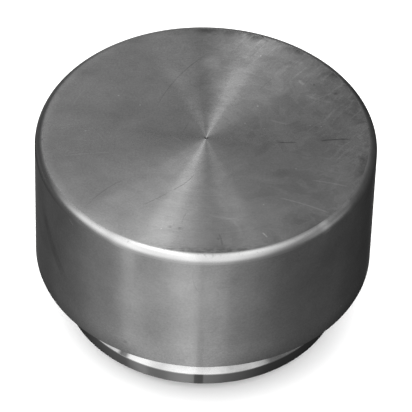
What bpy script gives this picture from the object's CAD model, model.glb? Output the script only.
"""A drum-shaped screw cap on a weld stub, with a floating plate, a bronze washer, a retaining ring
and two O-rings inside. Everything is turned about Z, the head faces +Z and the front is -Y.
Sizes are in millimetres until they reach a mesh or an object."""
import math
from functools import reduce
from operator import add
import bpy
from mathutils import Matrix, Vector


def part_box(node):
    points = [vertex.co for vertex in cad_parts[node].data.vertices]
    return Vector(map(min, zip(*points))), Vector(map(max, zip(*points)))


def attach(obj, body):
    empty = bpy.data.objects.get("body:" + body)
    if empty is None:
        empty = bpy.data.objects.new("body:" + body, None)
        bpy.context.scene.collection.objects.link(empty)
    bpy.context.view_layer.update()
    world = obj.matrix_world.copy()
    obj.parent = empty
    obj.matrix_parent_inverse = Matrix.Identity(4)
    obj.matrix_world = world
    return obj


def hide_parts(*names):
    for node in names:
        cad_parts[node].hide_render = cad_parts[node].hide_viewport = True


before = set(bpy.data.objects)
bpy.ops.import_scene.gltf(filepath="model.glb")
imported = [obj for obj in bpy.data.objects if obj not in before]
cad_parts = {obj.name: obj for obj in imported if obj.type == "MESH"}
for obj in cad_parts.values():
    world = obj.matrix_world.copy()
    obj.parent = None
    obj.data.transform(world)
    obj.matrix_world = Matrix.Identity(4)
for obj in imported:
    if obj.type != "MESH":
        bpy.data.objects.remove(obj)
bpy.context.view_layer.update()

from types import SimpleNamespace

import bmesh
import bpy
from mathutils import Matrix, Vector

TAU = 2 * math.pi
MM = 0.001
DEGREES = 180 / math.pi


# ------------------------------------------------------------------ levels, read from the frame
def low(node):
    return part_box(node)[0].z * 1000


def high(node):
    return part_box(node)[1].z * 1000


CAP_LOW, CAP_TOP = low("cap_shell"), high("cap_shell")
CAP_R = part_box("cap_shell")[1].x * 1000
STUB_LOW, STUB_TOP = low("weld_stub"), high("weld_stub")
PLATE_LOW = low("closing_plate")

# ------------------------------------------------------------------ shader helpers
OUT = (1.0, 0.0)        # ramp values that fade out


class Value:
    """A shader output that plain arithmetic turns into math nodes."""

    def __init__(self, nodes, socket):
        self.nodes = nodes
        self.socket = socket

    def __add__(self, other):
        return self.nodes.math("ADD", self, other)

    def __radd__(self, other):
        return self.nodes.math("ADD", other, self)

    def __sub__(self, other):
        return self.nodes.math("SUBTRACT", self, other)

    def __rsub__(self, other):
        return self.nodes.math("SUBTRACT", other, self)

    def __mul__(self, other):
        return self.nodes.math("MULTIPLY", self, other)

    def __truediv__(self, other):
        return self.nodes.math("DIVIDE", self, other)

    def __abs__(self):
        return self.nodes.math("ABSOLUTE", self)


class Nodes:
    """Short ways to add shader nodes. All but node() and put() return a Value."""

    def __init__(self, tree):
        self.tree = tree
        tree.nodes.clear()

    def node(self, kind, **props):
        made = self.tree.nodes.new(kind)
        for key, value in props.items():
            setattr(made, key, value)
        return made

    def put(self, socket, value):
        if isinstance(value, Value):
            self.tree.links.new(value.socket, socket)
        else:
            socket.default_value = value

    def out(self, node, key=0):
        return Value(self, node.outputs[key])

    def filled(self, node, values):
        """The node's first output, with its first inputs set."""
        for i, value in enumerate(values):
            self.put(node.inputs[i], value)
        return self.out(node)

    def math(self, operation, *values):
        return self.filled(self.node("ShaderNodeMath", operation=operation), values)

    def hypot(self, x, y):
        return self.math("SQRT", x * x + y * y)

    def vec(self, x, y, z):
        return self.filled(self.node("ShaderNodeCombineXYZ"), (x, y, z))

    def xyz(self, vector):
        split = self.node("ShaderNodeSeparateXYZ")
        self.put(split.inputs[0], vector)
        return [self.out(split, i) for i in range(3)]

    def scaled(self, vector, factor):
        made = self.node("ShaderNodeVectorMath", operation="SCALE")
        self.put(made.inputs["Scale"], factor)
        return self.filled(made, [vector])

    def length(self, x, y):
        made = self.node("ShaderNodeVectorMath", operation="LENGTH")
        self.put(made.inputs[0], self.vec(x, y, 0.0))
        return self.out(made, "Value")

    def place(self):
        return self.out(self.node("ShaderNodeTexCoord"), "Object")

    def ramp(self, x, span, to=(0.0, 1.0)):
        """to[0] up to span[0], to[1] past span[1], smooth between. The span may run downwards."""
        made = self.node("ShaderNodeMapRange", interpolation_type="SMOOTHSTEP", clamp=True)
        self.put(made.inputs["Value"], x)
        for key, value in zip(("From Min", "From Max", "To Min", "To Max"), (*span, *to)):
            self.put(made.inputs[key], value)
        return self.out(made)

    def noise(self, at, detail=2.0, rough=0.5, warp=0.0, dims="3D"):
        """Noise at a vector or a tuple of three coordinates, or at a single value if dims is 1D."""
        made = self.node("ShaderNodeTexNoise", noise_dimensions=dims)
        if isinstance(at, tuple):
            at = self.vec(*at)
        self.put(made.inputs["W" if dims == "1D" else "Vector"], at)
        for key, value in (("Scale", 1.0), ("Detail", detail), ("Roughness", rough),
                           ("Distortion", warp)):
            made.inputs[key].default_value = value
        return self.out(made)

    def curve(self, x, points, start, end):
        """A piecewise straight curve through points (x, y), with x between start and end."""
        made = self.node("ShaderNodeFloatCurve")
        made.mapping.use_clip = False
        knots = made.mapping.curves[0].points
        while len(knots) < len(points):
            knots.new(0.5, 0.5)
        for knot, (px, py) in zip(knots, points):
            knot.location = ((px - start) / (end - start), py)
            knot.handle_type = "VECTOR"
        made.mapping.update()
        self.put(made.inputs["Value"], (x - start) / (end - start))
        return self.out(made)

    def grey(self, value):
        return self.filled(self.node("ShaderNodeCombineColor"), [value] * 3)

    def tint(self, value, colour):
        return self.filled(self.node("ShaderNodeCombineColor"), [value * part for part in colour])

    def bump(self, height, strength, distance):
        made = self.node("ShaderNodeBump")
        made.inputs["Strength"].default_value = strength
        made.inputs["Distance"].default_value = distance
        self.put(made.inputs["Height"], height)
        return self.out(made)

    def strongest(self, values):
        return reduce(lambda a, b: self.math("MAXIMUM", a, b), values)

    def finish(self, shader, kind="ShaderNodeOutputMaterial"):
        self.put(self.node(kind).inputs[0], self.out(shader))


def material(name):
    made = bpy.data.materials.new(name)
    made.use_nodes = True
    return made, Nodes(made.node_tree)


# ------------------------------------------------------------------ marks on turned metal
# Hand scratches: direction in degrees, length, noise level above which a scratch shows
SCRATCHES = [(18, 9.0, 0.66), (-34, 7.0, 0.67), (71, 6.0, 0.68), (128, 11.0, 0.675)]


def scratches(n, x, y):
    """Fine straight scratches in a few directions over a plane in mm: 1 on a scratch."""
    found = []
    for k, (angle, length, level) in enumerate(SCRATCHES):
        c, s = math.cos(math.radians(angle)), math.sin(math.radians(angle))
        along = x * c + y * s
        across = y * c - x * s
        lines = n.noise((along * (1.0 / length), across * 4.0, 7.3 * k + 1.7), detail=1.0)
        fine = n.ramp(lines, span=(level, level + 0.035))
        region = n.noise((x * 0.07, y * 0.07, 3.1 * k + 5.0))
        found.append(fine * n.ramp(region, span=(0.42, 0.62)))
    return n.strongest(found)


def curved_line(n, x, y, x0, y0, x1, y1, x2, y2, width):
    """A thin arc through three points, 1 on its line, fading out at the ends."""
    bend = (x1 - x0) * (y2 - y0) - (y1 - y0) * (x2 - x0)
    if abs(bend) < 0.02 * ((x2 - x0) ** 2 + (y2 - y0) ** 2):      # nearly straight: bow it a little
        x1, y1 = x1 - 0.02 * (y2 - y0), y1 + 0.02 * (x2 - x0)
    sq0, sq1, sq2 = x0 * x0 + y0 * y0, x1 * x1 + y1 * y1, x2 * x2 + y2 * y2
    divisor = 2 * (x0 * (y1 - y2) + x1 * (y2 - y0) + x2 * (y0 - y1))
    centre_x = (sq0 * (y1 - y2) + sq1 * (y2 - y0) + sq2 * (y0 - y1)) / divisor
    centre_y = (sq0 * (x2 - x1) + sq1 * (x0 - x2) + sq2 * (x1 - x0)) / divisor
    radius = math.hypot(x0 - centre_x, y0 - centre_y)
    off = abs(n.hypot(x - centre_x, y - centre_y) - radius)
    line = n.ramp(off, span=(width * 0.4, width), to=OUT)
    half = math.hypot(x0 - x2, y0 - y2) / 2
    from_middle = n.hypot(x - (x0 + x2) / 2, y - (y0 + y2) / 2)
    return line * n.ramp(from_middle, span=(half * 0.55, half * 1.02), to=OUT)


def curved_lines(n, x, y, table):
    """The strongest of the lines in a table of (x, y of three points, width, strength)."""
    return n.strongest([curved_line(n, x, y, *row[:-1]) * row[-1] for row in table])


def blobs(n, x, y, table):
    """Round soft spots, one for each (x, y, radius, strength)."""
    return [n.ramp(n.length(x - x0, y - y0), span=(radius * 0.25, radius), to=(strength, 0.0))
            for x0, y0, radius, strength in table]


def patches(n, angle, table):
    """Soft patches round a barrel, from (azimuth, half width, soft edge, strength) in degrees.
    Azimuth 0 is the front and it grows to the right."""
    quarter = math.pi / 2
    azimuth = n.math("ARCTAN2", n.math("SINE", angle + quarter),
                     n.math("COSINE", angle + quarter)) * DEGREES
    return reduce(add, [
        n.ramp(abs(azimuth - centre), span=(half - edge, half + edge), to=OUT) * strength
        for centre, half, edge, strength in table])


# The marks functions add to a metal's tone and roughness. The last factor of a term is its
# strength: the share by which it lightens or darkens the metal.

# Lines on the head: x, y of start, middle and end, width, strength
HEAD_DARK_LINES = [
    (0.4, 39.9, -8.9, 28.6, -16.3, 12.0, 0.22, 0.17),
    (-5.6, 6.8, -6.6, 4.4, -7.4, 2.0, 0.20, 0.12),
    (-3.1, -16.4, -6.6, -21.2, -10.7, -24.6, 0.22, 0.26),
    (-10.7, -24.6, -14.8, -27.8, -19.2, -31.1, 0.22, 0.20),
    (-24.0, -19.2, -30.6, -24.8, -35.5, -31.2, 0.22, 0.16),
    (21.8, -1.0, 25.3, -1.1, 28.6, -0.8, 0.32, 0.32),
    (35.0, 0.0, 40.0, 0.9, 45.6, 1.3, 0.34, 0.34),
    (16.0, 22.0, 19.0, 26.5, 23.5, 31.0, 0.22, 0.10),
    (-6.6, -39.0, -6.2, -36.0, -5.0, -33.4, 0.24, 0.10),
    (4.6, -42.0, 5.4, -45.0, 6.0, -48.0, 0.35, 0.16),
]
HEAD_LIGHT_LINES = [
    (22.0, -25.6, 30.0, -28.6, 39.6, -32.6, 0.34, 0.22),
    (32.0, -17.6, 38.0, -18.8, 45.0, -20.4, 0.32, 0.28),
    (17.9, -41.3, 18.7, -42.2, 19.5, -43.4, 0.30, 0.34),
    (-45.0, -10.3, -37.0, -9.2, -28.0, -7.6, 0.34, 0.24),
    (-43.0, -2.4, -38.0, -2.9, -33.0, -3.0, 0.30, 0.14),
    (-36.0, 3.0, -33.0, -0.6, -31.2, -4.4, 0.28, 0.12),
    (-42.5, 12.1, -40.9, 16.5, -38.6, 20.6, 0.26, 0.14),
    (-10.5, -0.2, -9.0, -1.0, -7.4, -2.2, 0.34, 0.26),
    (28.6, 28.4, 29.4, 27.0, 30.6, 25.4, 0.70, 0.22),
    (20.0, 9.0, 22.6, 8.0, 26.0, 7.2, 0.50, 0.24),
    (31.0, 3.0, 34.0, 7.0, 39.0, 10.0, 0.30, 0.14),
    (30.0, 22.0, 35.0, 19.0, 41.0, 18.0, 0.50, 0.16),
    (32.0, 16.0, 35.5, 20.0, 41.0, 22.5, 0.40, 0.14),
    (8.0, -34.5, 10.0, -38.0, 12.0, -43.0, 0.70, 0.05),
    (0.0, -33.5, 6.0, -35.5, 13.0, -36.0, 0.70, 0.06),
    (17.0, -20.5, 22.0, -21.6, 26.5, -25.0, 0.80, 0.08),
]
# Light specks and dark nicks on the head: x, y, radius, strength
HEAD_SPECKS = [
    (-28.0, 18.1, 0.42, 0.55), (-21.1, 14.1, 0.38, 0.55), (15.9, 15.2, 0.42, 0.55),
    (28.1, -12.8, 0.36, 0.45), (32.4, 7.0, 0.36, 0.35), (-15.0, -28.4, 0.34, 0.30),
    (-10.2, -40.0, 0.85, -0.26), (-7.2, -40.5, 0.75, -0.26), (-9.0, -39.2, 0.60, -0.20),
    (4.6, -44.6, 0.70, -0.22), (33.6, 26.0, 0.60, -0.20), (40.5, 22.0, 0.8, -0.18),
]
# Broad paler and darker areas of the head: x, y, radius, strength
HEAD_AREAS = [
    (-24.0, -29.0, 22.0, -0.11), (27.0, 34.0, 28.0, 0.13), (-6.0, 17.0, 13.0, -0.15),
    (-44.0, 16.0, 22.0, 0.09), (26.0, -22.0, 20.0, -0.07), (31.0, -37.5, 10.0, -0.20),
    (38.0, 24.5, 6.0, -0.14), (-20.0, -10.0, 14.0, -0.05),
]


def head_specks(n, x, y):
    """Scattered bright specks and dark pits, and those of the table."""
    cells = n.node("ShaderNodeTexVoronoi", feature="F1", distance="EUCLIDEAN")
    n.put(cells.inputs["Vector"], n.vec(x * 0.16, y * 0.16, 0.0))
    cells.inputs["Scale"].default_value = 1.0
    kind = n.xyz(n.out(cells, "Color"))[0]
    dot = n.ramp(n.out(cells, "Distance"), span=(0.026, 0.055), to=OUT)
    bright = n.ramp(kind, span=(0.62, 0.66)) * 0.45
    pit = n.ramp(kind, span=(0.30, 0.26)) * 0.22
    return reduce(add, blobs(n, x, y, HEAD_SPECKS), dot * (bright - pit))


def head_areas(n, x, y):
    """Broad areas, with knotted clouds and thin drip lines stronger to the right."""
    area = reduce(add, blobs(n, x, y, HEAD_AREAS))
    knot = n.noise((x * 0.12, y * 0.15, 8.0), detail=3.5, rough=0.50, warp=0.8)
    right_half = n.ramp(x * 0.9 + y * 0.35, span=(-4.0, 22.0), to=(0.25, 1.0))
    drips = n.ramp(abs(knot - 0.5), span=(0.0, 0.04), to=OUT) * right_half * 0.08
    return area + (drips + (knot - 0.5) * (0.20 + right_half * 0.22))


def head_edge(n, x, y, radius):
    """How much darker the head is near its rim and at its centre mark."""
    noise = n.noise((x * 0.11, y * 0.11, 9.0), detail=5.0, rough=0.6)
    blotches = n.ramp(noise, span=(0.47, 0.66)) * n.ramp(x, span=(-20.0, 10.0), to=(0.10, 0.28))
    edge = n.ramp(radius, span=(45.5, 50.8)) * blotches
    at_back = n.ramp(radius, span=(47.6, 50.9)) * n.ramp(y + x * 0.5, span=(14.0, 50.0))
    edge = edge + at_back * (0.02 + noise * 0.26)
    edge = edge - n.ramp(radius, span=(48.2, 50.4)) * n.ramp(x, span=(-18.0, -38.0)) * 0.16
    # grime gathered along the front edge
    grime = n.noise((x * 0.45, y * 1.2, 3.0), detail=5.0, rough=0.65)
    stretch = n.ramp(x, span=(-17.0, -8.0)) * n.ramp(x, span=(22.0, 10.0))
    grime = n.ramp(grime, span=(0.42, 0.62)) * (n.ramp(radius, span=(47.8, 50.4)) * stretch)
    edge = edge + grime * n.ramp(y, span=(-20.0, -34.0)) * 0.34
    # the centre drill's mark
    return edge + n.ramp(radius, span=(0.25, 0.75), to=(0.60, 0.0))


def head_marks(n, at, tone, rough):
    """The head: curved scratches, specks, stains, and light rubs to the right and back."""
    x, y = at.x, at.y
    dark = curved_lines(n, x, y, HEAD_DARK_LINES)
    light = curved_lines(n, x, y, HEAD_LIGHT_LINES)
    specks = head_specks(n, x, y)
    area = head_areas(n, x, y)
    # stains and rubs, towards the right and back rim
    region = n.ramp(x * 0.86 + y * 0.5, span=(14.0, 44.0)) * n.ramp(at.radius, span=(22.0, 44.0))
    blot = n.noise((x * 0.13, y * 0.13, 2.0), detail=6.0, rough=0.66, warp=0.5)
    smear = region * n.ramp(blot, span=(0.47, 0.64)) * 0.17
    across = x * 0.60 + y * 0.80
    along = y * 0.60 - x * 0.80
    rub = n.noise((across * 0.10, along * 0.55, 6.0), detail=4.0, rough=0.60, warp=1.1)
    rubs = region * n.ramp(rub, span=(0.52, 0.68)) * 0.22
    # a pale round spot
    pale = n.ramp(n.length(x - 0.9, y - 34.8), span=(1.6, 4.2), to=OUT) * 0.20
    edge = head_edge(n, x, y, at.radius)
    # a slow change of tone from side to side and from front to back
    slope = (n.ramp(x, span=(14.0, -34.0), to=(-0.12, 0.16))
             + n.ramp(x, span=(-34.0, -53.0), to=(0.0, 0.06)))
    slope = slope + n.ramp(y, span=(40.0, -30.0), to=(-0.08, 0.09))
    # broad clouds, and the grain of the skin
    cloud = n.noise((x * 0.055, y * 0.075, 4.0), detail=7.0, rough=0.66, warp=0.7)
    grain = n.noise((x * 1.5, y * 1.5, 1.0), detail=4.0, rough=0.75)
    grain_strength = (n.ramp(x, span=(6.0, -24.0), to=(0.54, 0.80))
                      * n.ramp(y, span=(-8.0, -26.0), to=(1.0, 0.72)))
    skin = (cloud - 0.5) * 0.55 + (grain - 0.5) * grain_strength
    tone = tone + area + (slope + pale) + skin
    tone = tone + (light + rubs + specks)
    tone = tone - (dark * 1.2 + (smear + edge))
    return tone, rough + light * 0.12


# Patches round the barrels: azimuth, half width, soft edge, strength
RIM_PATCHES = [(45.0, 1.6, 1.5, 0.34), (-45.5, 2.0, 2.5, 0.12), (-33.0, 2.0, 2.0, -0.12),
               (-24.5, 2.0, 3.0, 0.06), (57.0, 2.0, 2.0, 0.14)]
WALL_STRIPE = [(0.2, 1.1, 0.35, 0.08)]
WALL_SHEEN = [(-25.0, 2.2, 1.4, 0.10)]
COLLAR_PATCHES = [(-0.15, 1.85, 0.3, -0.52), (-26.0, 4.5, 1.5, 0.30), (-8.0, 5.0, 2.5, 0.20),
                  (40.0, 16.0, 6.0, -0.25), (-60.0, 7.0, 4.0, -0.2)]
SHOULDER_PATCHES = [(-33.2, 2.2, 1.3, -0.72), (-37.0, 4.0, 2.5, -0.10), (-17.0, 3.5, 2.5, -0.18),
                    (15.0, 5.0, 4.0, -0.22), (25.0, 2.5, 1.5, 0.20), (37.5, 8.0, 1.5, -0.50)]
# Lines on the wall: distance round from the front, height from the head, for three points,
# then width and strength
WALL_HOOK = [(-2.6, -5.5, -2.3, -11.0, -0.2, -15.2, 0.16, 0.14)]
WALL_LIGHT_LINES = [(-47.0, -3.4, -46.2, -4.2, -44.8, -5.0, 0.30, 0.30),
                    (50.9, -41.4, 51.4, -41.9, 51.9, -42.5, 0.30, 0.30)]
WALL_BROAD_LINE = [(-65.4, -12.0, -58.4, -22.0, -47.5, -33.0, 2.6, 0.15)]


def rim_marks(n, at, tone, rough):
    """The rounded rim: duller to the right and at its upper edge, with tiny nicks."""
    x, y, z = at.x, at.y, at.z
    upper = n.ramp(z - CAP_TOP, span=(-0.75, -0.05))
    nick = n.noise((x * 0.8, y * 0.8, z * 0.8), detail=4.0, rough=0.7)
    nicks = n.ramp(nick, span=(0.56, 0.68)) * upper * 0.22
    dull = n.ramp(x, span=(22.0, 46.0)) * (0.16 + upper * 0.20)
    cloud = n.noise((x * 0.12, y * 0.12, 1.0), detail=5.0, rough=0.6)
    worn = patches(n, at.angle, RIM_PATCHES)
    sides = (n.ramp(x, span=(-27.0, -41.0), to=(0.0, 0.36))
             + n.ramp(x, span=(12.0, 26.0), to=(0.0, 0.06)))
    foot = n.ramp(z - CAP_TOP, span=(-0.9, -1.8)) * sides
    return tone - (nicks + dull) + (worn - foot) + (cloud - 0.5) * 0.22, rough


def wall_marks(n, at, tone, rough):
    """The wall: a hooked scratch, short light ones, clouds, grain and a paler band at the foot."""
    x, y, z = at.x, at.y, at.z
    around = (at.angle + math.pi / 2) * CAP_R
    top = z - CAP_TOP
    hook = curved_lines(n, around, top, WALL_HOOK)
    light = curved_lines(n, around, top, WALL_LIGHT_LINES)
    cloud = n.noise((x * 0.075, y * 0.075, z * 0.065), detail=6.0, rough=0.58, warp=0.15)
    grain = n.noise((x * 1.4, y * 1.4, z * 1.7), detail=4.0, rough=0.75)
    dark = hook + curved_lines(n, around, top, WALL_BROAD_LINE)
    pale = n.ramp(n.length(around + 54.6, top + 29.5), span=(1.5, 6.0), to=OUT) * 0.10
    stripe = patches(n, at.angle, WALL_STRIPE) * n.ramp(top, span=(-29.0, -36.0))
    sheen = patches(n, at.angle, WALL_SHEEN) * n.ramp(top, span=(-24.0, -12.0))
    light = light + pale + sheen - stripe
    foot = n.ramp(top, span=(-37.6, -38.4))
    dot = n.ramp(n.length(around + 24.0, top + 42.6), span=(0.3, 0.9), to=OUT) * 0.20
    tone = tone + ((cloud - 0.5) * 0.62 + (grain - 0.5) * (0.60 + foot * 0.15))
    tone = tone - (dark + dot) + (light + foot * 0.03)
    return tone, rough + light * 0.1


def collar_marks(n, at, tone, rough):
    """The collar: darker to the right, with one narrow dark upright strip in front."""
    cloud = n.noise((at.x * 0.12, at.y * 0.12, at.z * 0.3), detail=4.0, rough=0.6)
    return tone + patches(n, at.angle, COLLAR_PATCHES) + (cloud - 0.5) * 0.2, rough


def shoulder_marks(n, at, tone, rough):
    """The bright shoulder: smudges, cloudier to the right."""
    cloud = n.noise((at.x * 0.30, at.y * 0.30, at.z * 0.5), detail=5.0, rough=0.65)
    cloudy = (cloud - 0.5) * n.ramp(at.x, span=(-6.0, 4.0), to=(0.24, 0.50))
    return tone + patches(n, at.angle, SHOULDER_PATCHES) + cloudy, rough


# ------------------------------------------------------------------ materials
SCRATCH_R = 53.5        # radius at which scratches are laid out round a barrel


def turned_metal(name, feed, base, rough, fine, band, stain, bump, scratch,
                 aniso=0.0, brushed=None, colour=(1.0, 1.0, 1.0), marks=None):
    """Steel cut on a lathe.

    feed: the way the tool fed, "r" on a face, "z" on a barrel, "rz" on a slope or a round
    base: brightness; fine, band, stain, scratch: strength of tool lines, bands, stains, scratches
    brushed: (spread across the tool lines, spread along them), a clean sheen in place of aniso
    marks: a function that adds the surface's own marks
    """
    mat, n = material(name)
    point = n.scaled(n.place(), 1000.0)
    x, y, z = n.xyz(point)
    at = SimpleNamespace(x=x, y=y, z=z)
    if feed != "z":
        at.radius = n.hypot(x, y)
    if feed != "r":
        at.angle = n.math("ARCTAN2", y, x)
    if feed == "rz":
        travel = at.radius + z
    else:
        travel = at.radius if feed == "r" else z
    # tool marks: fine, middle and broad turning lines
    lines1 = n.noise(travel * 6.0, dims="1D")
    lines2 = n.noise(travel * 1.6 + 31.0, dims="1D")
    lines3 = n.noise(travel * 0.32 + 77.0, detail=1.0, dims="1D")
    tool = (lines1 - 0.5) * fine + (lines2 - 0.5) * (fine * 0.8)
    bands = (lines3 - 0.5) * band
    # handling stains, broad and small
    broad = n.noise(n.scaled(point, 0.045), detail=4.0, rough=0.6, warp=0.4)
    small = n.noise(n.scaled(point, 0.22), detail=3.0, rough=0.65)
    smear = (broad - 0.5) * stain + (small - 0.5) * (stain * 0.45)
    if feed == "r":
        scratched = scratches(n, x, y)
    else:
        scratched = scratches(n, at.angle * SCRATCH_R, z)
    tone = tool + bands + smear + scratched * scratch
    stain_rough, line_rough = (0.06, 0.02) if brushed else (0.10, 0.05)
    roughness = rough + ((broad - 0.5) * stain_rough + (lines2 - 0.5) * line_rough)
    if marks:
        tone, roughness = marks(n, at, tone, roughness)
    tinted = n.tint((1.0 + tone) * base, colour)
    if brushed:
        wide, narrow = brushed
        shader = n.node("ShaderNodeBsdfAnisotropic", distribution="BECKMANN")
        n.put(shader.inputs["Color"], tinted)
        n.put(shader.inputs["Roughness"], roughness + ((wide * narrow) ** 0.25 - rough))
        shader.inputs["Anisotropy"].default_value = 1.0 - math.sqrt(narrow / wide)
        height = lines3 * 2.0          # the fine lines are in the sheen itself
    else:
        shader = n.node("ShaderNodeBsdfPrincipled")
        n.put(shader.inputs["Base Color"], tinted)
        shader.inputs["Metallic"].default_value = 1.0
        n.put(shader.inputs["Roughness"], roughness)
        shader.inputs["Anisotropic"].default_value = aniso
        shader.inputs["Anisotropic Rotation"].default_value = 0.25
        height = lines1 * 0.4 + (lines2 * 0.6 + scratched * -0.5)
    tangent = n.node("ShaderNodeTangent", direction_type="RADIAL", axis="Z")
    n.put(shader.inputs["Tangent"], n.out(tangent))
    n.put(shader.inputs["Normal"], n.bump(height, strength=bump, distance=0.00002))
    n.finish(shader)
    return mat


HEAD = turned_metal("head_steel", "r", base=0.62, rough=0.25, fine=0.04, band=0.03, stain=0.10,
                    bump=0.20, scratch=0.05, brushed=(0.25, 0.011), marks=head_marks)
RIM = turned_metal("rim_steel", "rz", base=0.82, rough=0.26, fine=0.04, band=0.02, stain=0.05,
                   bump=0.04, scratch=0.05, brushed=(0.17, 0.028), marks=rim_marks)
WALL = turned_metal("wall_steel", "z", base=0.70, rough=0.20, fine=0.05, band=0.02, stain=0.10,
                    bump=0.20, scratch=0.05, brushed=(0.13, 0.007), marks=wall_marks)
BORE = turned_metal("bore_steel", "z", base=0.45, rough=0.42, aniso=0.6, fine=0.12, band=0.05,
                    stain=0.10, bump=0.3, scratch=0.03)
THREAD = turned_metal("thread_steel", "rz", base=0.50, rough=0.36, aniso=0.6, fine=0.08,
                      band=0.03, stain=0.08, bump=0.2, scratch=0.03)
COLLAR = turned_metal("collar_steel", "z", base=0.36, rough=0.20, fine=0.05, band=0.03,
                      stain=0.10, bump=0.04, scratch=0.05, brushed=(0.12, 0.007),
                      marks=collar_marks)
SHOULDER = turned_metal("shoulder_steel", "rz", base=0.90, rough=0.17, aniso=0.6, fine=0.04,
                        band=0.02, stain=0.10, bump=0.04, scratch=0.05, marks=shoulder_marks)
PLATE = turned_metal("plate_steel", "r", base=0.58, rough=0.38, aniso=0.9, fine=0.10, band=0.05,
                     stain=0.10, bump=0.3, scratch=0.05)
PLATE_SIDE = turned_metal("plate_side_steel", "z", base=0.55, rough=0.36, aniso=0.8, fine=0.10,
                          band=0.05, stain=0.08, bump=0.3, scratch=0.03)
SPRING = turned_metal("spring_steel", "rz", base=0.30, rough=0.38, aniso=0.5, fine=0.06,
                      band=0.03, stain=0.10, bump=0.2, scratch=0.12, colour=(1.0, 1.0, 1.03))
BRONZE = turned_metal("washer_bronze", "r", base=0.55, rough=0.36, aniso=0.4, fine=0.08,
                      band=0.04, stain=0.20, bump=0.2, scratch=0.12, colour=(1.0, 0.74, 0.40))


def rubber(name):
    """Black rubber with a faint pale bloom."""
    mat, n = material(name)
    point = n.scaled(n.place(), 1000.0)
    mottle = n.noise(n.scaled(point, 0.6), detail=4.0, rough=0.6)
    pores = n.noise(n.scaled(point, 9.0))
    bloom = n.ramp(n.noise(n.scaled(point, 0.16), detail=3.0), span=(0.5, 0.75))
    shader = n.node("ShaderNodeBsdfPrincipled")
    n.put(shader.inputs["Base Color"], n.grey(0.018 + mottle * 0.014 + bloom * 0.018))
    n.put(shader.inputs["Roughness"], 0.48 + mottle * 0.2)
    shader.inputs["Specular IOR Level"].default_value = 0.4
    height = mottle + pores * 0.5
    n.put(shader.inputs["Normal"], n.bump(height, strength=0.25, distance=0.00004))
    n.finish(shader)
    return mat


RUBBER = rubber("seal_rubber")


# ------------------------------------------------------------------ sections, as (radius, height)
def arc(centre_r, centre_z, radius, start, end, steps):
    """Points of an arc, angles in degrees from +r towards +z."""
    angles = [math.radians(start + (end - start) * k / steps) for k in range(steps + 1)]
    return [(centre_r + radius * math.cos(a), centre_z + radius * math.sin(a)) for a in angles]


def soft_corner(before, corner, after, size, steps):
    """Points that round off a corner."""
    ends = []
    legs = [(p[0] - corner[0], p[1] - corner[1]) for p in (before, after)]
    lengths = [math.hypot(*leg) for leg in legs]
    cut = min(size, lengths[0] * 0.45, lengths[1] * 0.45)
    for leg, length in zip(legs, lengths):
        ends.append([corner[i] + leg[i] / length * cut for i in (0, 1)])
    points = []
    for k in range(steps + 1):
        t = k / steps
        points.append(tuple((1 - t) ** 2 * ends[0][i] + 2 * t * (1 - t) * corner[i]
                            + t * t * ends[1][i] for i in (0, 1)))
    return points


def softened(points, size, steps=3):
    """A polyline with its inner corners rounded."""
    rounded = [points[0]]
    for before, corner, after in zip(points, points[1:], points[2:]):
        rounded += soft_corner(before, corner, after, size, steps)
    return rounded + [points[-1]]


def dense(points, step):
    """Extra points along long straight runs."""
    filled = [points[0]]
    for a, b in zip(points, points[1:]):
        count = max(1, int(math.hypot(b[0] - a[0], b[1] - a[1]) / step))
        filled += [(a[0] + (b[0] - a[0]) * i / count, a[1] + (b[1] - a[1]) * i / count)
                   for i in range(1, count + 1)]
    return filled


def raised(base, points):
    return [(r, base + z) for r, z in points]


# ------------------------------------------------------------------ thread
PITCH = 3.0
FLANK_R = 41.526        # radius where the flanks are measured
FLANK = 0.57735         # axial run of a flank for each mm of radius
STUB_ROOT_AT = 30.2     # height of a root of the stub's thread at angle 0
CAP_ROOT_AT = STUB_ROOT_AT - PITCH / 2
STUB_MAJOR = 42.5
CAP_MINOR = 40.876
# Offsets from the root's middle at which the sections have rows, used on both sides
STUB_ROWS = (0.25, 0.40, 0.55, 0.75, 0.95, 1.13, 1.312)
CAP_ROWS = (0.272, 0.40, 0.55, 0.75, 0.95, 1.13, 1.325)


def from_root(u, root):
    """Axial distance to the nearest root."""
    return abs((u - root + PITCH / 2) % PITCH - PITCH / 2)


def stub_thread(u):
    radius = FLANK_R + (from_root(u, STUB_ROOT_AT) - 0.75) / FLANK
    return min(STUB_MAJOR, max(40.66, radius))


def cap_thread(u):
    radius = FLANK_R + (0.95 - from_root(u, CAP_ROOT_AT)) / FLANK
    return min(42.7, max(CAP_MINOR, radius))


def between(points, z):
    """Radius at height z on a polyline of (z, r) with z rising."""
    for (z0, r0), (z1, r1) in zip(points, points[1:]):
        if z <= z1:
            return r0 + (r1 - r0) * max(0.0, z - z0) / max(1e-9, z1 - z0)
    return points[-1][1]


def thread_rows(bottom, top, root, offsets, radius):
    """Helical rows from bottom to top, each a function from angle to (radius, height).
    radius takes the height and the height unwound to angle 0."""
    both = [-PITCH / 2, 0.0] + [side * offset for offset in offsets for side in (-1, 1)]
    phases = sorted({round((root + offset) % PITCH, 6) for offset in both})
    starts = []
    k = math.floor((bottom - PITCH) / PITCH) - 1
    while k * PITCH <= top:
        starts += [k * PITCH + phase for phase in phases]
        k += 1

    def row(start):
        def at(angle):
            lift = PITCH * angle / TAU
            z = min(top, max(bottom, start + lift))
            return radius(z, z - lift), z
        return at

    return [row(u) for u in sorted(starts) if bottom - PITCH - 1e-6 <= u <= top + 1e-6]


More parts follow.
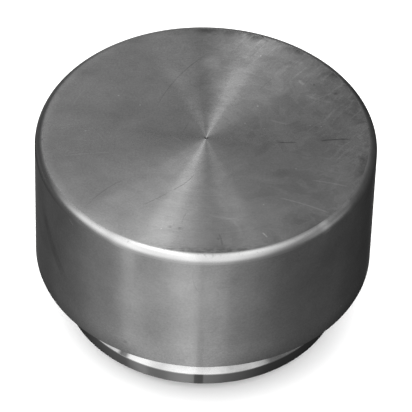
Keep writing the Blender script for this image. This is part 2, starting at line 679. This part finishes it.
# ------------------------------------------------------------------ lathe
def lathe(name, parts, segments, body, stands_for, crease=28.0, sweep=1.0):
    """Turns a section about Z. parts is a list of (rows, material) that follow one another round
    the section. A row is a point (radius, height) or a function from angle to such a point."""
    columns = segments + 1
    angles = [TAU * sweep * j / segments for j in range(columns)]
    rows, row_slots, used = [], [], []
    for part_rows, mat in parts:
        if mat not in used:
            used.append(mat)
        for row in part_rows:
            rows.append([row(a) for a in angles] if callable(row) else [row] * columns)
            row_slots.append(used.index(mat))
    closed = not (rows[0][0][0] == 0 and rows[-1][0][0] == 0)
    verts = [(r * math.cos(a) * MM, r * math.sin(a) * MM, z * MM)
             for row in rows for (r, z), a in zip(row, angles)]
    faces, face_slots = [], []
    count = len(rows)
    for i in range(count if closed else count - 1):
        here, there = i * columns, (i + 1) % count * columns
        for j in range(segments):
            faces.append((here + j, here + j + 1, there + j + 1, there + j))
            face_slots.append(row_slots[i])
    if sweep < 1.0:
        faces.append(tuple(i * columns for i in range(count)))
        faces.append(tuple(i * columns + segments for i in reversed(range(count))))
        face_slots += [0, 0]
    mesh = bpy.data.meshes.new(name)
    mesh.from_pydata(verts, [], faces)
    mesh.polygons.foreach_set("material_index", face_slots)
    for mat in used:
        mesh.materials.append(mat)
    clean_up(mesh)
    mesh.set_sharp_from_angle(angle=math.radians(crease))
    made = bpy.data.objects.new(name, mesh)
    bpy.context.scene.collection.objects.link(made)
    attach(made, body)
    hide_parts(stands_for)


def clean_up(mesh):
    """Joins the seam and the poles, drops flat faces and smooths the rest."""
    bm = bmesh.new()
    bm.from_mesh(mesh)
    bmesh.ops.remove_doubles(bm, verts=bm.verts, dist=2e-6)
    bmesh.ops.dissolve_degenerate(bm, edges=bm.edges, dist=1e-7)
    loose = [v for v in bm.verts if not v.link_faces]
    if loose:
        bmesh.ops.delete(bm, geom=loose, context="VERTS")
    bmesh.ops.recalc_face_normals(bm, faces=bm.faces)
    for face in bm.faces:
        face.smooth = True
    bm.to_mesh(mesh)
    bm.free()


# ------------------------------------------------------------------ pieces
def cap_drum():
    fillet = 2.63
    relief = 42.85                      # bore below the thread and just above it
    bore = 41.2                         # bore above the relief
    groove = 43.4                       # floor of the retaining ring's groove
    thread_low, thread_top, lead_in = 29.0, 45.88, 1.2
    rim = arc(CAP_R - fillet, CAP_TOP - fillet, fillet, start=90, end=0, steps=20)
    head = raised(CAP_TOP, [(0, -0.4), (0.12, -0.36), (0.42, -0.10), (0.55, 0)])
    head += [(r, CAP_TOP) for r in (0.7, 2, 4, 8, 14, 20, 26, 32, 38, 44, 48,
                                    CAP_R - fillet - 0.3)]
    wall = dense([rim[-1], (CAP_R, CAP_LOW + 0.25)], 5.0)
    foot = [(CAP_R - 0.07, CAP_LOW + 0.07), (CAP_R - 0.25, CAP_LOW)]
    mouth = softened([(CAP_R - 0.26, CAP_LOW), (48.0, CAP_LOW), (44.05, CAP_LOW),
                      (relief, CAP_LOW + 1.2), (relief, thread_low)], 0.1)
    # least radius at each height, as (z, r)
    limit = [(thread_low, relief), (thread_low + lead_in, CAP_MINOR),
             (thread_top - lead_in, CAP_MINOR), (thread_top, relief)]
    thread = thread_rows(thread_low, thread_top, CAP_ROOT_AT, CAP_ROWS,
                         lambda z, u: max(between(limit, z), cap_thread(u)))
    inside = softened([(relief, 45.9), (relief, 48.08), (bore, 48.88), (bore, 51.35),
                       (groove, 51.35), (groove, 52.85), (bore, 52.85), (bore, 55.4),
                       (40.4, 56.2), (30.0, 56.2), (12.0, 56.2), (0, 56.2)], 0.12)
    parts = [(head, HEAD), (rim[:-1], RIM), (wall, WALL), (foot, RIM), (mouth, BORE),
             (thread, THREAD), (inside, BORE)]
    lathe("cap_drum", parts, 360, "cap", "cap_shell")


def stub_body():
    bore = 36.83
    collar = 44.45
    neck = 42.65                        # above the shoulder
    groove = 40.65                      # floor of the dust O-ring's groove
    thread_low = 28.5
    bevel = softened([(bore, 0.35), (bore, 0.0), (38.43, 0.0), (collar, 4.62)], 0.12)
    side = dense(softened([(44.40, 4.585), (collar, 4.62), (collar, 8.45), (44.30, 8.60)],
                          0.10), 2.0)
    shoulder = [(44.27, 8.63), (43.5, 9.4), (42.72, 10.18)]
    neck_side = softened([(neck, 10.25), (neck, 23.2), (groove, 23.2), (groove, 26.8),
                          (neck, 26.8), (neck, 27.7), (41.85, 28.5), (40.6, 28.5)], 0.12)
    # greatest radius at each height, as (z, r)
    limit = [(thread_low, 40.4), (30.0, 40.4), (32.1, STUB_MAJOR),
             (STUB_TOP - 1.3, STUB_MAJOR), (STUB_TOP, 41.2)]
    thread = thread_rows(thread_low, STUB_TOP, STUB_ROOT_AT, STUB_ROWS,
                         lambda z, u: min(between(limit, z), stub_thread(u)))
    lip = softened([(40.5, STUB_TOP), (bore + 0.3, STUB_TOP), (bore, STUB_TOP - 0.3),
                    (bore, 24.0)], 0.08)
    parts = [(bevel, BORE), (side, COLLAR), (shoulder, SHOULDER), (neck_side, COLLAR),
             (thread, THREAD), (lip, SHOULDER), ([(bore, 23.0), (bore, 12.0)], BORE)]
    lathe("stub_body", parts, 360, "stub", "weld_stub")


def floating_plate():
    under = [(0, 0), (4, 0), (12, 0), (22, 0), (30, 0)]
    side = [(31, 0), (35.5, 0), (36.5, 1), (36.5, 6.2), (39.8, 6.2), (39.8, 4.1), (40.6, 4.1),
            (40.6, 7.95), (36.7, 7.95), (36.7, 9.95), (40.6, 9.95), (40.6, 11.6), (40.2, 12.0),
            (36.0, 12.0)]
    top = [(35.0, 12), (14.0, 12), (14.0, 10.5), (8.0, 10.5), (0, 10.5)]
    parts = [(raised(PLATE_LOW, under), PLATE),
             (softened(raised(PLATE_LOW, side), 0.12), PLATE_SIDE),
             (softened(raised(PLATE_LOW, top), 0.12), PLATE)]
    lathe("floating_plate", parts, 288, "plate", "closing_plate")


def band(inner, outer, bottom, top, start, size, steps):
    """A rectangular section with rounded corners, begun at radius start on its underside."""
    corners = [(start, bottom), (outer, bottom), (outer, top), (inner, top), (inner, bottom),
               (start, bottom)]
    return softened(corners, size, steps)[:-1]


def snap_ring():
    """A C-shaped ring, open over 24 degrees."""
    bottom = low("retaining_ring")
    section = band(39.3, 43.2, bottom, bottom + 1.4, start=41.0, size=0.22, steps=4)
    lathe("snap_ring", [(section, SPRING)], 300, "cap", "retaining_ring",
          sweep=336.0 / 360.0)


def o_ring(name, inner, outer, body, node):
    """An O-ring pressed to a section between round and square."""
    bottom, top = low(node), high(node)
    power = 2 / 2.9                     # 1 would be an ellipse
    points = []
    for k in range(40):
        t = TAU * k / 40
        c, s = math.cos(t), math.sin(t)
        points.append(((inner + outer) / 2
                       + (outer - inner) / 2 * math.copysign(abs(c) ** power, c),
                       (bottom + top) / 2
                       + (top - bottom) / 2 * math.copysign(abs(s) ** power, s)))
    lathe(name, [(points, RUBBER)], 288, body, node, crease=70.0)


def bronze_washer():
    section = band(15.0, 39.8, low("slip_washer"), high("slip_washer"), start=28.0,
                   size=0.18, steps=3)
    lathe("bronze_washer", [(section, BRONZE)], 240, "plate", "slip_washer")


cap_drum()
stub_body()
floating_plate()
snap_ring()
o_ring("face_seal", 36.80, 39.77, "plate", "face_o_ring")
o_ring("dust_seal", 40.68, 42.81, "stub", "dust_o_ring")
bronze_washer()


# ------------------------------------------------------------------ floor
def floor_material():
    """Matt and pale, and clear from below so that the underside can be looked at."""
    mat, n = material("floor_pale")
    mottle = n.noise(n.scaled(n.place(), 60.0), detail=3.0)
    pale = n.node("ShaderNodeBsdfPrincipled")
    n.put(pale.inputs["Base Color"], n.grey(0.92 + (mottle - 0.5) * 0.012))
    pale.inputs["Roughness"].default_value = 0.9
    pale.inputs["Specular IOR Level"].default_value = 0.1
    below = n.out(n.node("ShaderNodeNewGeometry"), "Backfacing")
    clear = n.node("ShaderNodeBsdfTransparent")
    mix = n.node("ShaderNodeMixShader")
    n.filled(mix, (below, n.out(pale), n.out(clear)))
    n.finish(mix)
    return mat


def floor():
    half = 4                            # metres
    gap = 0.00005                       # metres below the stub
    mesh = bpy.data.meshes.new("floor")
    mesh.from_pydata([(-half, -half, 0), (half, -half, 0), (half, half, 0), (-half, half, 0)],
                     [], [(0, 1, 2, 3)])
    mesh.materials.append(floor_material())
    made = bpy.data.objects.new("floor", mesh)
    bpy.context.scene.collection.objects.link(made)
    made.location.z = STUB_LOW * MM - gap
    made.visible_glossy = False


floor()

# ------------------------------------------------------------------ studio
# Low surround, seen in upright walls: azimuth (0 in front, negative to the left), brightness
LOW_SURROUND = [
    (-180, 0.34), (-172, 0.40), (-163, 0.12), (-136, 0.078), (-108, 0.106), (-92, 0.143),
    (-76, 0.214), (-64, 0.233), (-59, 0.262), (-54, 0.405), (-49, 0.440), (-36, 0.358),
    (-28, 0.400), (-14, 0.510), (-7, 0.517), (-3, 0.465), (0, 0.398), (5, 0.405), (16, 0.340),
    (20, 0.270), (36, 0.186), (48, 0.139), (64, 0.090), (88, 0.076), (124, 0.044),
    (158, 0.035), (170, 0.22), (180, 0.34)]
# Overhead soft box, seen in the rim, the shoulder and the head: lateral angle, brightness
OVERHEAD = [
    (-90, 0.005), (-72, 0.048), (-63, 0.46), (-55, 0.65), (-44, 0.947), (-36, 1.127),
    (-20, 0.976), (-5, 1.162), (0, 0.84), (7, 0.892), (16, 0.881), (34, 0.496), (44, 0.233),
    (54, 0.222), (62, 0.298), (74, 0.352), (90, 0.216)]
# Soft lamps: lateral and overhead angle of the middle, half size each way, power
LAMPS = [(-6.2, 108.6, 4.0, 27.0, 0.85), (1.9, 122.9, 27.7, 19.5, 0.21)]
MIRROR_Y, MIRROR_Z = 0.716, 0.698       # the direction the head mirrors
# Wedges fanned out round that direction: angle, half width, soft edge, power
WEDGES = [(-18.6, 3.4, 4.3, 0.73), (-35.2, 10.5, 7.2, 0.24), (-7.0, 3.3, 13.7, 0.20),
          (15.6, 3.1, 9.9, 0.46)]
PLAIN = 2.1                             # brightness for all but glossy rays


def lamp(n, lateral, over, at_lateral, at_over, half_lateral, half_over, power):
    u = (lateral - at_lateral) / half_lateral
    v = (over - at_over) / half_over
    return n.math("EXPONENT", (u * u + v * v) * -1.0) * power


def studio():
    """Soft boxes that stand round the camera and turn with it, as on a turntable."""
    world = bpy.data.worlds.new("studio")
    bpy.context.scene.world = world
    world.use_nodes = True
    n = Nodes(world.node_tree)
    unit = n.node("ShaderNodeVectorMath", operation="NORMALIZE")
    ray = n.filled(unit, [n.out(n.node("ShaderNodeTexCoord"), "Generated")])
    look = n.node("ShaderNodeVectorTransform", vector_type="VECTOR", convert_from="CAMERA",
                  convert_to="WORLD")
    look.inputs[0].default_value = (0.0, 0.0, 1.0)
    look_x, look_y, look_z = n.xyz(n.out(look))
    flat = n.math("MAXIMUM", n.hypot(look_x, look_y), 1e-4)
    ahead_x, ahead_y = look_x / flat, look_y / flat
    ray_x, ray_y, z = n.xyz(ray)
    x = ray_x * ahead_y - ray_y * ahead_x           # to the camera's right
    y = ray_x * ahead_x + ray_y * ahead_y           # away from the camera
    azimuth = n.math("ARCTAN2", x, y * -1.0) * DEGREES
    elevation = n.math("ARCSINE", z) * DEGREES
    lateral = n.math("ARCSINE", x) * DEGREES
    # 0 at the front horizon, 90 overhead, 180 at the back horizon
    over = n.math("ARCTAN2", z, y * -1.0) * DEGREES

    surround = n.curve(azimuth, LOW_SURROUND, -180, 180)
    overhead = n.curve(lateral, OVERHEAD, -90, 90)
    arch = n.ramp(over, span=(-30.3, -1.5)) * n.ramp(over, span=(77.8, 131.7), to=OUT)
    back = n.ramp(over, span=(120.0, 172.0), to=(0.075, 0.057)) + x * 0.008
    lamps = reduce(add, [lamp(n, lateral, over, *row) for row in LAMPS])

    # wedge-shaped boxes, which turn negative close to the mirrored direction
    fan = n.math("ARCTAN2", x, MIRROR_Y - y) * DEGREES
    cosine = n.math("MINIMUM", y * MIRROR_Y + z * MIRROR_Z, 1.0)
    away = n.math("ARCCOSINE", cosine) * DEGREES
    wedges = reduce(add, [n.ramp(abs(fan - at), span=(half, half + soft), to=(power, 0.0))
                          for at, half, soft, power in WEDGES])
    fade = (n.ramp(away, span=(33.4, 62.4), to=OUT)
            * n.ramp(away, span=(8.8, 20.8), to=(-0.98, 1.0)))
    lamps = lamps + wedges * fade

    upper = overhead * arch + (1.0 - arch) * back + lamps
    rise = n.ramp(elevation, span=(-8.9, 25.0))
    boxes = n.math("MAXIMUM", surround * (1.0 - rise) + upper * rise, 0.0)
    # the boxes go down when the camera looks straight down on the head
    boxes = boxes * n.ramp(look_z, span=(-0.78, -0.97), to=(1.0, 0.30))
    glossy = n.out(n.node("ShaderNodeLightPath"), "Is Glossy Ray")
    background = n.node("ShaderNodeBackground")
    n.put(background.inputs["Color"], n.grey(boxes * glossy + (1.0 - glossy) * PLAIN))
    n.finish(background, "ShaderNodeOutputWorld")


def key_light():
    """A square soft light at the upper left, aimed at the cap. Metres and watts."""
    light = bpy.data.lights.new("key_soft", "AREA")
    light.shape = "RECTANGLE"
    light.size = light.size_y = 0.9
    light.energy = 3.0
    made = bpy.data.objects.new("key_soft", light)
    bpy.context.scene.collection.objects.link(made)
    made.location = (-0.55, -0.25, 1.0)
    aim = Vector((0, 0, 0.03)) - made.location
    made.rotation_euler = aim.to_track_quat("-Z", "Y").to_euler()
    made.visible_glossy = False


def camera():
    """In front and above, aimed near the head's centre, with a slight roll."""
    pitch = math.radians(44.26)         # below the horizon
    roll = math.radians(-1.737)
    back_off, shift_right, shift_down = 22.419, 0.011, 0.398       # in cap radii
    forward = Vector((0, math.cos(pitch), -math.sin(pitch)))
    right = Vector((1, 0, 0))
    down = Vector((0, -math.sin(pitch), -math.cos(pitch)))
    offset = -forward * back_off + right * shift_right + down * shift_down
    eye = Vector((0, 0, CAP_TOP * MM)) + offset * (CAP_R * MM)
    c, s = math.cos(roll), math.sin(roll)
    axes = (right * c + down * s, right * s - down * c, -forward, eye)
    lens = bpy.data.cameras.new("camera")
    lens.sensor_width = 36.0
    lens.lens = 336.163107
    lens.clip_start, lens.clip_end = 0.05, 20.0
    made = bpy.data.objects.new("camera", lens)
    bpy.context.scene.collection.objects.link(made)
    made.matrix_world = Matrix([[axis[i] for axis in axes] for i in range(3)] + [[0, 0, 0, 1]])
    bpy.context.scene.camera = made


studio()
key_light()
camera()

view = bpy.context.scene.view_settings
view.view_transform = "Standard"
view.look = "None"
view.exposure = 0.0
view.gamma = 1.0
